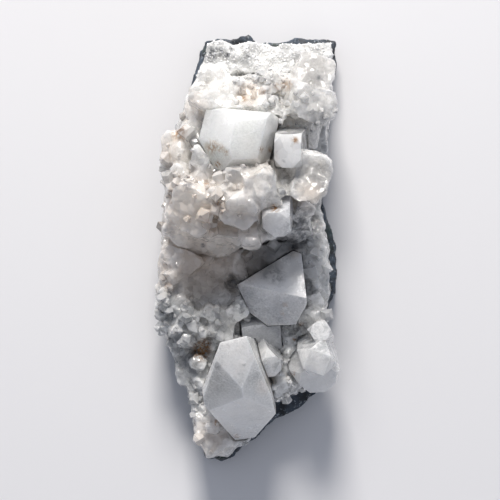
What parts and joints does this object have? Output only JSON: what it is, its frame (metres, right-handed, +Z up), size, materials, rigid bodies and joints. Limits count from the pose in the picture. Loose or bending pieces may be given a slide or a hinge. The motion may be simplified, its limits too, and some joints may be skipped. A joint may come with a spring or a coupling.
{
  "type": "mineral specimen",
  "caption": "Long slab of dark rock coated in a pale crust of small crystals, with large clear to milky square prisms with pyramid faces standing on it.",
  "frame": {"origin": "middle of the specimen's length and width, on the surface that it rests on", "axes": "+Z up, away from the flat rock underside; +Y along the length, towards the thick end"},
  "size_m": [0.0542, 0.1252, 0.0467],
  "materials": {
    "wedge_crystal": "pearly to frosted",
    "block_crystal": "pearly to frosted",
    "spear_crystal": "pearly to frosted",
    "shadow_crystal": "pearly to frosted",
    "clear_crystal": "clear, glassy",
    "glassy_crystal": "clear, glassy",
    "facet_crystal": "pearly to frosted",
    "side_crystals": "clear, glassy",
    "upper_cluster": "translucent, blushed",
    "crystal_crust": "translucent, sugary",
    "basalt_matrix": "rough, fine-grained rock"
  },
  "bodies": {
    "root": {"wedge_crystal": "wedge_crystal", "block_crystal": "block_crystal", "spear_crystal": "spear_crystal", "shadow_crystal": "shadow_crystal", "clear_crystal": "clear_crystal", "glassy_crystal": "glassy_crystal", "facet_crystal": "facet_crystal", "side_crystals": "side_crystals", "upper_cluster": "upper_cluster", "crystal_crust": "crystal_crust", "basalt_matrix": "basalt_matrix"}
  },
  "joints": []
}
